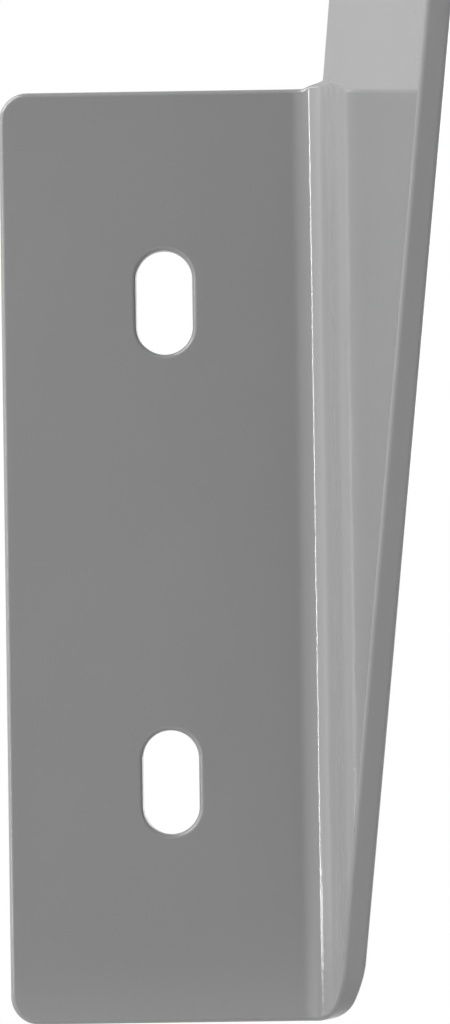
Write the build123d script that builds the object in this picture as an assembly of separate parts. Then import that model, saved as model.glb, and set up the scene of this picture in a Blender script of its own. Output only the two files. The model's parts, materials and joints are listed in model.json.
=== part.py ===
"""Shelf bracket: one sheet of steel, cut to outline and folded once.

A flat plate with two slots goes against the wall. Along its right edge the sheet folds forward
into a web, which is opened a few degrees past square. The front edge of the web leans outward from
the foot of the plate, and above the plate the web carries on as an arm with parallel edges.

Frame: +Z up, the wall is the plane Y = 0, the bracket stands in front of it at negative Y, and +X is
the folded side. The origin is midway between the two slots, on the wall face of the plate.
Lengths are in millimetres and angles in degrees.
"""

import os
from math import cos, radians, sin, sqrt, tan

from build123d import *

# Sheet and fold
SHEET = 3.0
FOLD_RADIUS = 5.0  # inside radius
OPENING_ANGLE = 8.0  # how far the web is opened past square to the plate

# Wall plate
PLATE_HEIGHT = 116.5
PLATE_WIDTH = 40.8  # free edge to the inside corner of the fold, before rounding
PLATE_CORNER = 3.5

# Slots for the wall screws, standing upright one above the other
SLOT_WIDTH = 7.0
SLOT_LENGTH = 13.0
SLOT_PITCH = 60.0
SLOT_FROM_EDGE = 20.4
LOWER_SLOT_HEIGHT = 30.0  # centre of the lower slot above the foot of the plate

# Web and arm
LEAN_ANGLE = 33.0  # front and rear edges of the arm, away from upright
FRONT_START = 0.0  # height above the foot at which the front edge would leave the inside corner
FOOT_CORNER = 5.5  # round where the front edge meets the foot of the plate
ARM_RISE = 60.0  # height of the arm above the plate
ARM_CORNER = 4.0
NOTCH_RADIUS = 1.2  # round between the top of the plate and the rear edge of the arm
ROOT_HEIGHT = 1.2  # over this height above the plate the fold flattens out into the arm

# Helpers for cutting: tools reach this far past what they cut
CLEARANCE = 2.0
CURVE_STEPS = 6  # points along each curved cutting line

# Worked out from the sizes above
fold_angle = radians(90.0 - OPENING_ANGLE)
lean = tan(radians(LEAN_ANGLE))
mid_radius = FOLD_RADIUS + SHEET / 2
fold_length = mid_radius * fold_angle  # developed length of the fold, along the middle of the sheet
setback = FOLD_RADIUS * tan(fold_angle / 2)  # inside corner to either end of the fold

foot = -LOWER_SLOT_HEIGHT - SLOT_PITCH / 2
plate_top = foot + PLATE_HEIGHT
arm_top = plate_top + ARM_RISE
free_edge = -SLOT_FROM_EDGE
fold_start = free_edge + PLATE_WIDTH - setback

# Along the web, distances are measured forward from the end of the fold
corner_in_web = -setback
wall_in_web = -(FOLD_RADIUS + SHEET) * tan(fold_angle / 2)  # outside corner of the fold
web_direction = Vector(cos(fold_angle), -sin(fold_angle), 0)


def fold_point(along, depth, height, flatten=0.0):
    """A point of the folded sheet.

    along is the developed distance past the end of the fold, so that the fold itself runs from
    -fold_length to 0. depth is measured from the inside face towards the outside face. flatten
    takes the curvature out of the fold, from 0 for the full fold to 1 for flat sheet.
    """
    web_end = Vector(fold_start + FOLD_RADIUS * sin(fold_angle),
                     FOLD_RADIUS * (cos(fold_angle) - 1) - SHEET, height)
    outward = Vector(sin(fold_angle), cos(fold_angle), 0)
    if flatten >= 1.0:
        return web_end + outward * depth + web_direction * along
    inside_radius = mid_radius / (1.0 - flatten) - SHEET / 2
    centre = web_end - outward * inside_radius
    turn = fold_angle + along / (inside_radius + SHEET / 2)
    return centre + Vector(sin(turn), cos(turn), 0) * (inside_radius + depth)


def front_edge(height):
    """Developed distance of the arm's front edge past the end of the fold."""
    return corner_in_web + lean * (height - foot - FRONT_START)


def rear_edge(height):
    """The same for the rear edge, which leaves the outside corner at the top of the plate."""
    return wall_in_web + lean * (height - plate_top)


def make_plate():
    middle = (free_edge + fold_start) / 2
    outline = Pos(middle, foot + PLATE_HEIGHT / 2) * Rectangle(fold_start - free_edge, PLATE_HEIGHT)
    outline = fillet(outline.vertices().group_by(Axis.X)[0], PLATE_CORNER)
    slot = Rot(0, 0, 90) * SlotOverall(SLOT_LENGTH, SLOT_WIDTH)
    outline -= [Pos(0, side * SLOT_PITCH / 2) * slot for side in (-1, 1)]
    return extrude(Plane.XZ * outline, SHEET)


def make_fold():
    """The fold, with the rounded foot corner and the start of the front edge cut across it."""
    corners = [(-fold_length, 0), (-fold_length, SHEET), (0, SHEET), (0, 0)]
    start_in, start_out, end_out, end_in = [fold_point(along, depth, 0) for along, depth in corners]
    middle_in, middle_out = [fold_point(-fold_length / 2, depth, 0) for depth in (0, SHEET)]
    section = make_face([
        Line(start_in, start_out),
        ThreePointArc(start_out, middle_out, end_out),
        Line(end_out, end_in),
        ThreePointArc(end_in, middle_in, start_in),
    ])
    below = foot - CLEARANCE
    fold = extrude(Pos(0, 0, below) * section, plate_top - below)

    # Developed outline of the foot corner: level foot, round, then the leaning front edge
    lean_angle = radians(LEAN_ANGLE)
    sharp_corner = front_edge(foot)
    round_start = sharp_corner + FOOT_CORNER * (tan(lean_angle) - 1 / cos(lean_angle))
    round_end = round_start + FOOT_CORNER * cos(lean_angle)

    def edge_height(along):
        if along <= round_start:
            return foot
        if along <= round_end:
            return foot + FOOT_CORNER - sqrt(FOOT_CORNER**2 - (along - round_start) ** 2)
        return foot + FRONT_START + (along - corner_in_web) / lean

    for first, last in ((-fold_length, round_start), (round_start, round_end), (round_end, 0)):
        lines = []
        for depth in (-CLEARANCE, SHEET + CLEARANCE):
            steps = [first + (last - first) * i / CURVE_STEPS for i in range(CURVE_STEPS + 1)]
            lines.append(Spline(*[fold_point(along, depth, edge_height(along)) for along in steps]))
        fold -= extrude(Face.make_surface_from_curves(*lines), PLATE_HEIGHT, dir=(0, 0, -1))
    return fold


def root_section(rise):
    """Section of the sheet at a height above the plate, where the fold flattens into the arm."""
    flatten = rise / ROOT_HEIGHT
    lean_angle = radians(LEAN_ANGLE)
    rear = rear_edge(plate_top + rise)
    if rise < NOTCH_RADIUS * (1 - sin(lean_angle)):
        round_centre = rear_edge(plate_top) + NOTCH_RADIUS * (lean - 1 / cos(lean_angle))
        rear = round_centre + sqrt(NOTCH_RADIUS**2 - (NOTCH_RADIUS - rise) ** 2)
    height = plate_top + rise
    edges = []
    for depth in (0, SHEET):
        ends = [fold_point(along, depth, height, flatten) for along in (rear, rear / 2, 0)]
        edges.append(Line(ends[0], ends[2]) if flatten >= 1 else ThreePointArc(*ends))
    inside, outside = edges
    return make_face([inside, Line(inside @ 1, outside @ 1), outside, Line(outside @ 0, inside @ 0)])


def make_root():
    steps = (0.0, 0.12, 0.3, 0.6, 1.0)
    return loft([root_section(step * ROOT_HEIGHT) for step in steps])


def make_web():
    """The flat web and the arm above it, drawn in the plane of their inside face."""
    root_top = plate_top + ROOT_HEIGHT
    outline = Polyline(
        (0, foot + FRONT_START - corner_in_web / lean),
        (front_edge(arm_top), arm_top),
        (rear_edge(arm_top), arm_top),
        (rear_edge(root_top), root_top),
        (0, root_top),
        close=True,
    )
    web = make_face(outline)
    web = fillet(web.vertices().group_by(Axis.Y)[-1], ARM_CORNER)
    face_plane = Plane(fold_point(0, 0, 0), x_dir=web_direction, z_dir=web_direction.cross(Vector(0, 0, 1)))
    return extrude(face_plane * web, -SHEET)


bracket = make_plate() + make_fold() + make_root() + make_web()

os.makedirs("parts", exist_ok=True)
export_step(bracket, "parts/bracket.step")
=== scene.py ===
"""Looks of the folded steel shelf bracket: the coated sheet, its light, and the camera.

The sheet is made as in a workshop. Its flat outline is cut, the slots are punched, the edges are
broken, and then it is folded once. Lengths are in metres and angles in radians.
"""

import json
from math import cos, pi, radians, sin, tan

import bpy
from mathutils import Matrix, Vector


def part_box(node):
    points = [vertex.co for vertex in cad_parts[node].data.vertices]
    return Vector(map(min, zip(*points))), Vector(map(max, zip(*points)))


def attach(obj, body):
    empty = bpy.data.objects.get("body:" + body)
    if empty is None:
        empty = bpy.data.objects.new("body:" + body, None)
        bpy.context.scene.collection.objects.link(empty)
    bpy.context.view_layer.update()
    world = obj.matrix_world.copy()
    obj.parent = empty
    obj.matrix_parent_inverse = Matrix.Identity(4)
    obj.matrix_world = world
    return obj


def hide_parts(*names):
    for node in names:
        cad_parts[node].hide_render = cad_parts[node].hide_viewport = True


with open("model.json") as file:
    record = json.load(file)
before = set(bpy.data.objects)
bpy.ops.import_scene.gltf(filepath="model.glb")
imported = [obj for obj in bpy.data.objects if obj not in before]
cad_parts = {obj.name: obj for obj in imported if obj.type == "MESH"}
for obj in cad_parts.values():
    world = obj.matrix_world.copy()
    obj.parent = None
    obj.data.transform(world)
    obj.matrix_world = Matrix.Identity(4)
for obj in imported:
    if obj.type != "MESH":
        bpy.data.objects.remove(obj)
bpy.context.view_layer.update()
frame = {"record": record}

MM = 0.001
low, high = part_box("bracket")
mounts = {mount["name"]: mount for mount in frame["record"]["mounts"]}
slots = mounts["wall_slots"]["dims"]

# Sheet and fold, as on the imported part
SHEET = 3 * MM
FOLD_RADIUS = 5 * MM
OPENING_ANGLE = radians(8)
LEAN_ANGLE = radians(33)
LEAN = tan(LEAN_ANGLE)
PLATE_WIDTH = 40.8 * MM
PLATE_HEIGHT = 116.5 * MM

# Rounded corners and broken edges
PLATE_CORNER = 3.5 * MM
FOOT_CORNER = 5.5 * MM
ARM_CORNER = 4 * MM
NOTCH_RADIUS = 1.2 * MM
EDGE_ROUND = 0.6 * MM
ROOT_HEIGHT = 1.2 * MM

# Worked out from the sizes above and from the frame
fold_angle = pi / 2 - OPENING_ANGLE
mid_radius = FOLD_RADIUS + SHEET / 2
fold_length = mid_radius * fold_angle
setback = FOLD_RADIUS * tan(fold_angle / 2)
free_edge, foot, arm_top = low[0], low[2], high[2]
plate_top = foot + PLATE_HEIGHT
fold_start = free_edge + PLATE_WIDTH - setback
web_direction = Vector((cos(fold_angle), -sin(fold_angle), 0))
outward = Vector((sin(fold_angle), cos(fold_angle), 0))
web_end = Vector((fold_start + FOLD_RADIUS * sin(fold_angle),
                  FOLD_RADIUS * (cos(fold_angle) - 1) - SHEET, 0))


# ---------------------------------------------------------------- helpers

def deselect_all():
    if bpy.context.object and bpy.context.object.mode != "OBJECT":
        bpy.ops.object.mode_set(mode="OBJECT")
    bpy.ops.object.select_all(action="DESELECT")


def edit(piece, kind="VERT"):
    """Opens a piece for editing with nothing selected."""
    deselect_all()
    piece.select_set(True)
    bpy.context.view_layer.objects.active = piece
    bpy.ops.object.mode_set(mode="EDIT")
    bpy.ops.mesh.select_mode(type=kind)
    bpy.ops.mesh.select_all(action="DESELECT")


def select(piece, kind, test):
    """Selects the vertices or edges whose middle passes a test, in edit mode."""
    bpy.ops.mesh.select_mode(type=kind)
    bpy.ops.mesh.select_all(action="DESELECT")
    bpy.ops.object.mode_set(mode="OBJECT")
    mesh = piece.data
    if kind == "VERT":
        for vertex in mesh.vertices:
            vertex.select = test(vertex.co)
    else:
        for edge in mesh.edges:
            ends = [mesh.vertices[index].co for index in edge.vertices]
            edge.select = test((ends[0] + ends[1]) / 2)
    bpy.ops.object.mode_set(mode="EDIT")


def near(point, x, y):
    return abs(point.x - x) < 0.01 * MM and abs(point.y - y) < 0.01 * MM


def apply_modifiers(piece):
    deselect_all()
    piece.select_set(True)
    bpy.context.view_layer.objects.active = piece
    for modifier in list(piece.modifiers):
        bpy.ops.object.modifier_apply(modifier=modifier.name)


def sheet_rectangle(name, x0, x1, y0, y1):
    """A flat rectangle with its place in its mesh."""
    deselect_all()
    bpy.ops.mesh.primitive_plane_add(size=1, location=((x0 + x1) / 2, (y0 + y1) / 2, 0))
    piece = bpy.context.object
    piece.name = name
    piece.scale = (x1 - x0, y1 - y0, 1)
    bpy.ops.object.transform_apply(location=True, rotation=True, scale=True)
    return piece


def round_corner(piece, x, y, radius, inner_angle, segments):
    """Rounds one corner of a flat outline to a true arc; inner_angle is between its two sides."""
    corner = Vector((x, y, 0))
    select(piece, "VERT", lambda point: near(point, x, y))
    bpy.ops.mesh.bevel(offset=radius / tan(inner_angle / 2), segments=segments, affect="VERTICES")
    bpy.ops.object.mode_set(mode="OBJECT")
    arc = [vertex for vertex in piece.data.vertices if vertex.select]
    middle = sum((vertex.co for vertex in arc), Vector()) / len(arc)
    centre = corner + (middle - corner).normalized() * radius / sin(inner_angle / 2)
    for vertex in arc:
        vertex.co = centre + (vertex.co - centre).normalized() * radius
    bpy.ops.object.mode_set(mode="EDIT")


# ---------------------------------------------------------------- the sheet, flat

def front_edge(height):
    """Distance of the arm's front edge past the end of the fold, along the sheet."""
    return -setback + LEAN * (height - foot)


def rear_edge(height):
    """The same for the rear edge, which leaves the outside corner at the top of the plate."""
    return -(FOLD_RADIUS + SHEET) * tan(fold_angle / 2) + LEAN * (height - plate_top)


def make_blank():
    """The flat outline: plate and web in one trapezium, and the arm drawn out of its top edge."""
    plate_end = -fold_length - (fold_start - free_edge)
    notch = rear_edge(plate_top)
    blank = sheet_rectangle("bracket_sheet", plate_end, front_edge(plate_top), foot, plate_top)
    edit(blank)
    select(blank, "VERT", lambda point: near(point, front_edge(plate_top), foot))
    bpy.ops.transform.translate(value=(front_edge(foot) - front_edge(plate_top), 0, 0))
    bpy.ops.mesh.select_all(action="SELECT")
    bpy.ops.mesh.bisect(plane_co=(notch, 0, 0), plane_no=(1, 0, 0))
    select(blank, "EDGE", lambda point: point.x > notch and abs(point.y - plate_top) < 0.01 * MM)
    rise = arm_top - plate_top
    bpy.ops.mesh.extrude_region_move(TRANSFORM_OT_translate={"value": (LEAN * rise, rise, 0)})
    bpy.ops.mesh.select_all(action="SELECT")
    bpy.ops.mesh.dissolve_limited(angle_limit=radians(1))

    open_corner = pi / 2 + LEAN_ANGLE
    round_corner(blank, plate_end, foot, PLATE_CORNER, pi / 2, 10)
    round_corner(blank, plate_end, plate_top, PLATE_CORNER, pi / 2, 10)
    round_corner(blank, front_edge(foot), foot, FOOT_CORNER, open_corner, 12)
    round_corner(blank, notch, plate_top, NOTCH_RADIUS, open_corner, 12)
    round_corner(blank, rear_edge(arm_top), arm_top, ARM_CORNER, open_corner, 10)
    round_corner(blank, front_edge(arm_top), arm_top, ARM_CORNER, pi - open_corner, 14)
    bpy.ops.mesh.select_all(action="SELECT")
    bpy.ops.mesh.extrude_region_move(TRANSFORM_OT_translate={"value": (0, 0, SHEET)})
    bpy.ops.mesh.select_all(action="SELECT")
    bpy.ops.mesh.normals_make_consistent(inside=False)
    deselect_all()
    return blank


def make_punch(height):
    """A solid of one slot's outline, long enough to pass through the sheet."""
    half_width, half_length = slots["hole_r_mm"] * MM, slots["slot_length_mm"] / 2 * MM
    middle = -fold_length - fold_start
    punch = sheet_rectangle("punch", middle - half_width, middle + half_width,
                            height - half_length, height + half_length)
    edit(punch)
    bpy.ops.mesh.select_all(action="SELECT")
    bpy.ops.mesh.bevel(offset=half_width, segments=20, affect="VERTICES")
    bpy.ops.mesh.select_all(action="SELECT")
    bpy.ops.mesh.remove_doubles(threshold=0.005 * MM)
    bpy.ops.transform.translate(value=(0, 0, -SHEET))
    bpy.ops.mesh.extrude_region_move(TRANSFORM_OT_translate={"value": (0, 0, 3 * SHEET)})
    bpy.ops.mesh.select_all(action="SELECT")
    bpy.ops.mesh.normals_make_consistent(inside=False)
    deselect_all()
    return punch


def punch_slots(blank):
    """Scribes the slots' centre lines, so that no face is left with a hole in it, then punches."""
    pitch = slots["spacing_y_mm"] * MM
    edit(blank)
    for place, across in (((-fold_length - fold_start, 0, 0), (1, 0, 0)),
                          ((0, pitch / 2, 0), (0, 1, 0)), ((0, -pitch / 2, 0), (0, 1, 0))):
        bpy.ops.mesh.select_all(action="SELECT")
        bpy.ops.mesh.bisect(plane_co=place, plane_no=across)
    deselect_all()
    for side in (-1, 1):
        punch = make_punch(side * pitch / 2)
        cut = blank.modifiers.new("slot", "BOOLEAN")
        cut.operation = "DIFFERENCE"
        cut.solver = "EXACT"
        cut.object = punch
        apply_modifiers(blank)
        bpy.data.objects.remove(punch, do_unlink=True)


def break_edges(blank):
    """The coat runs round every cut edge in a small even radius."""
    rounding = blank.modifiers.new("edge", "BEVEL")
    rounding.width = EDGE_ROUND
    rounding.segments = 4
    rounding.limit_method = "ANGLE"
    rounding.angle_limit = radians(40)
    apply_modifiers(blank)


# ---------------------------------------------------------------- the fold

def fold_point(along, depth, height):
    """Where a point of the flat sheet lies once the sheet is folded."""
    place = Vector((0, 0, height))
    if along <= -fold_length:
        return Vector((fold_start + fold_length + along, depth - SHEET, height))
    if along >= 0:
        return place + web_end + outward * depth + web_direction * along
    rise = min(max((height - plate_top) / ROOT_HEIGHT, 0), 1)
    flatten = rise * rise * (3 - 2 * rise)
    if flatten > 0.999:
        return place + web_end + outward * depth + web_direction * along
    inside_radius = mid_radius / (1 - flatten) - SHEET / 2
    centre = web_end - outward * inside_radius
    turn = fold_angle + along / (inside_radius + SHEET / 2)
    return place + centre + Vector((sin(turn), cos(turn), 0)) * (inside_radius + depth)


def fold(blank):
    """Scores the sheet closely across the fold and above the notch, then bends it."""
    fold_steps, root_steps = 40, 14
    edit(blank)
    for step in range(fold_steps + 1):
        bpy.ops.mesh.select_all(action="SELECT")
        bpy.ops.mesh.bisect(plane_co=(-fold_length * step / fold_steps, 0, 0), plane_no=(1, 0, 0))
    for step in range(root_steps + 1):
        height = plate_top + ROOT_HEIGHT * step / root_steps
        bpy.ops.mesh.select_all(action="SELECT")
        bpy.ops.mesh.bisect(plane_co=(0, height, 0), plane_no=(0, 1, 0))
    bpy.ops.mesh.select_all(action="SELECT")
    bpy.ops.mesh.remove_doubles(threshold=0.002 * MM)
    deselect_all()
    bend = blank.data.attributes.new("bend", "FLOAT", "POINT")
    for vertex, mark in zip(blank.data.vertices, bend.data):
        mark.value = float(-fold_length < vertex.co.x < 0 and vertex.co.y < plate_top)
        vertex.co = fold_point(vertex.co.x, vertex.co.z, vertex.co.y)
    edit(blank)
    bpy.ops.mesh.select_all(action="SELECT")
    bpy.ops.mesh.normals_make_consistent(inside=False)
    deselect_all()


def make_bracket():
    sheet = make_blank()
    punch_slots(sheet)
    break_edges(sheet)
    fold(sheet)
    deselect_all()
    sheet.select_set(True)
    bpy.context.view_layer.objects.active = sheet
    bpy.ops.object.shade_smooth()
    even = sheet.modifiers.new("even_normals", "WEIGHTED_NORMAL")
    even.weight = 100
    even.keep_sharp = False
    apply_modifiers(sheet)
    return sheet


# ---------------------------------------------------------------- materials

def linear(hex_colour):
    """An sRGB hex colour as linear RGBA."""
    channels = [int(hex_colour[i:i + 2], 16) / 255 for i in (1, 3, 5)]
    return [c / 12.92 if c <= 0.04045 else ((c + 0.055) / 1.055) ** 2.4 for c in channels] + [1]


def add_node(tree, kind, inputs=None, **settings):
    """Adds a node. An input is a value, or an output socket to link from."""
    node = tree.nodes.new(kind)
    for name, value in settings.items():
        setattr(node, name, value)
    for name, value in (inputs or {}).items():
        if isinstance(value, bpy.types.NodeSocket):
            tree.links.new(value, node.inputs[name])
        else:
            node.inputs[name].default_value = value
    return node


def new_material(name):
    material = bpy.data.materials.new(name)
    material.use_nodes = True
    material.node_tree.nodes.clear()
    return material, material.node_tree


def glossy_powder_coat():
    """Polyester powder baked on steel: an even grey, a hard gloss, and a faint orange peel.

    In the fold the coat gathers into a stronger peel, which breaks a reflected edge into beads.
    """
    peel_size, flat_peel, bend_peel = 1.0 * MM, 0.0012 * MM, 0.010 * MM
    cloud_size = 22 * MM
    material, tree = new_material("glossy_grey_powder_coat")
    place = add_node(tree, "ShaderNodeTexCoord").outputs["Object"]
    peel = add_node(tree, "ShaderNodeTexNoise", {"Vector": place, "Scale": 1 / peel_size, "Detail": 1.0})
    bend = add_node(tree, "ShaderNodeAttribute", attribute_name="bend")
    height = add_node(tree, "ShaderNodeMapRange", {"Value": bend.outputs["Fac"], "To Min": flat_peel,
                                                   "To Max": bend_peel})
    bump = add_node(tree, "ShaderNodeBump", {"Height": peel.outputs["Fac"], "Strength": 1.0,
                                             "Distance": height.outputs["Result"]})
    cloud = add_node(tree, "ShaderNodeTexNoise", {"Vector": place, "Scale": 1 / cloud_size, "Detail": 2.0})
    tone = add_node(tree, "ShaderNodeMix", {"Factor": cloud.outputs["Fac"], "A": linear("#828282"),
                                            "B": linear("#868686")}, data_type="RGBA")
    paint = add_node(tree, "ShaderNodeBsdfPrincipled", {
        "Base Color": tone.outputs["Result"], "Roughness": 0.08, "IOR": 1.5,
        "Normal": bump.outputs["Normal"]})
    add_node(tree, "ShaderNodeOutputMaterial", {"Surface": paint.outputs["BSDF"]})
    return material


def pale_floor_paint():
    """Matt pale paint; towards its rim it is lifted to white for the camera, as a lit sweep is."""
    material, tree = new_material("pale_floor_paint")
    ray = add_node(tree, "ShaderNodeLightPath").outputs
    place = add_node(tree, "ShaderNodeTexCoord").outputs["Object"]
    distance = add_node(tree, "ShaderNodeVectorMath", {0: place}, operation="LENGTH").outputs["Value"]
    rim = add_node(tree, "ShaderNodeMapRange", {
        "Value": distance, "From Min": 0.25, "From Max": 1.0, "To Min": 0.02, "To Max": 0.8},
        interpolation_type="SMOOTHSTEP")
    lift = add_node(tree, "ShaderNodeMath", {0: ray["Is Camera Ray"], 1: rim.outputs["Result"]},
                    operation="MULTIPLY")
    paint = add_node(tree, "ShaderNodeBsdfPrincipled", {
        "Base Color": linear("#d9d9d9"), "Roughness": 0.9, "Emission Color": (1, 1, 1, 1),
        "Emission Strength": lift.outputs["Value"]})
    add_node(tree, "ShaderNodeOutputMaterial", {"Surface": paint.outputs["BSDF"]})
    return material


# ---------------------------------------------------------------- floor, light and camera

def make_floor():
    """A floor below the bracket, small enough to stay out of sight when the camera is level."""
    drop, floor_size = 130 * MM, 2.4
    deselect_all()
    bpy.ops.mesh.primitive_plane_add(size=floor_size, location=(0, 0, foot - drop))
    floor = bpy.context.object
    floor.name = "floor"
    bpy.ops.object.transform_apply(location=True, rotation=True, scale=True)
    floor.data.materials.append(pale_floor_paint())


def make_world():
    """A light tent: white to the camera, and to gloss dark behind the lens and duller at the back."""
    world = bpy.data.worlds.new("light_tent")
    bpy.context.scene.world = world
    world.use_nodes = True
    tree = world.node_tree
    tree.nodes.clear()
    ray = add_node(tree, "ShaderNodeLightPath").outputs
    direction = add_node(tree, "ShaderNodeTexCoord").outputs["Generated"]
    depth = add_node(tree, "ShaderNodeSeparateXYZ", {"Vector": direction}).outputs["Y"]
    position = add_node(tree, "ShaderNodeMapRange", {"Value": depth, "From Min": -1.0, "From Max": 1.0})
    tent = add_node(tree, "ShaderNodeValToRGB", {"Fac": position.outputs["Result"]})
    ramp = tent.color_ramp
    stops = ((0.0, 0.15), (0.03, 0.8), (0.7, 0.8), (0.95, 0.55))
    ramp.elements[0].position = stops[0][0]
    ramp.elements[1].position = stops[-1][0]
    for place, _ in stops[1:-1]:
        ramp.elements.new(place)
    for element, (_, level) in zip(ramp.elements, stops):
        element.color = (level, level, level, 1)
    ambient = add_node(tree, "ShaderNodeMix", {"Factor": ray["Is Glossy Ray"], "A": (0.31, 0.31, 0.31, 1),
                                               "B": tent.outputs["Color"]}, data_type="RGBA")
    seen = add_node(tree, "ShaderNodeMix", {"Factor": ray["Is Camera Ray"], "A": ambient.outputs["Result"],
                                            "B": (1, 1, 1, 1)}, data_type="RGBA")
    glow = add_node(tree, "ShaderNodeBackground", {"Color": seen.outputs["Result"], "Strength": 1.0})
    add_node(tree, "ShaderNodeOutputWorld", {"Surface": glow.outputs["Background"]})


def around(azimuth, distance, height):
    """A place round the bracket; azimuth goes from straight in front to the left."""
    turn = radians(azimuth)
    return Vector((-sin(turn) * distance, -cos(turn) * distance, height))


def make_light(name, place, aim, width, tall, radiance):
    """A soft box; its radiance is how bright its face looks, where 1 is white."""
    deselect_all()
    bpy.ops.object.light_add(type="AREA", location=place)
    lamp = bpy.context.object
    lamp.name = name
    lamp.data.shape = "RECTANGLE"
    lamp.data.size, lamp.data.size_y = width, tall
    lamp.data.energy = radiance * pi * width * tall
    lamp.rotation_euler = (aim - place).to_track_quat("-Z", "Y").to_euler()
    lamp.visible_camera = False


def make_upright_light(name, azimuth, distance, width, lowest, highest, radiance):
    """A soft box that stands upright between two heights and faces the bracket."""
    height = (lowest + highest) / 2
    place = around(azimuth, distance, height)
    make_light(name, place, Vector((0, 0, height)), width, highest - lowest, radiance)


def make_lights():
    """The upright boxes end low down, where their reflection in the fold fades out."""
    origin = Vector((0, 0, 0))
    make_upright_light("key", azimuth=77, distance=0.9, width=0.7, lowest=-0.11, highest=1.4, radiance=1.5)
    make_upright_light("edge_strip", azimuth=56, distance=1.0, width=0.03, lowest=-0.12, highest=1.2,
                       radiance=26)
    make_upright_light("strip_foot", azimuth=60, distance=1.0, width=0.1, lowest=-0.116, highest=-0.094,
                       radiance=14)
    make_light("overhead", around(80, distance=0.7, height=0.8), aim=origin, width=0.9, tall=0.9,
               radiance=5.1)
    make_light("low_fill", Vector((0, -0.35, foot - 0.12)), aim=Vector((0, -0.3, 0)), width=1.0, tall=0.6,
               radiance=0.9)
    make_upright_light("back_fill", azimuth=-140, distance=1.0, width=0.8, lowest=-0.1, highest=0.7,
                       radiance=4)


def make_camera():
    """Square on to the wall plate, from the middle of its height, with a slight roll."""
    eye = Vector((13.4, -728, -7)) * MM
    aim = Vector((7.2, -3, 3.7)) * MM
    roll = radians(-0.83)
    deselect_all()
    bpy.ops.object.camera_add(location=eye)
    camera = bpy.context.object
    camera.rotation_euler = (aim - eye).to_track_quat("-Z", "Y").to_euler()
    camera.rotation_euler.rotate_axis("Z", roll)
    camera.data.lens = 204
    camera.data.sensor_width = 36
    camera.data.clip_start = 0.01
    bpy.context.scene.camera = camera


bracket = make_bracket()
bracket.data.materials.clear()
bracket.data.materials.append(glossy_powder_coat())
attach(bracket, "root")
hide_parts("bracket")

make_floor()
make_world()
make_lights()
make_camera()
bpy.context.scene.view_settings.view_transform = "Standard"
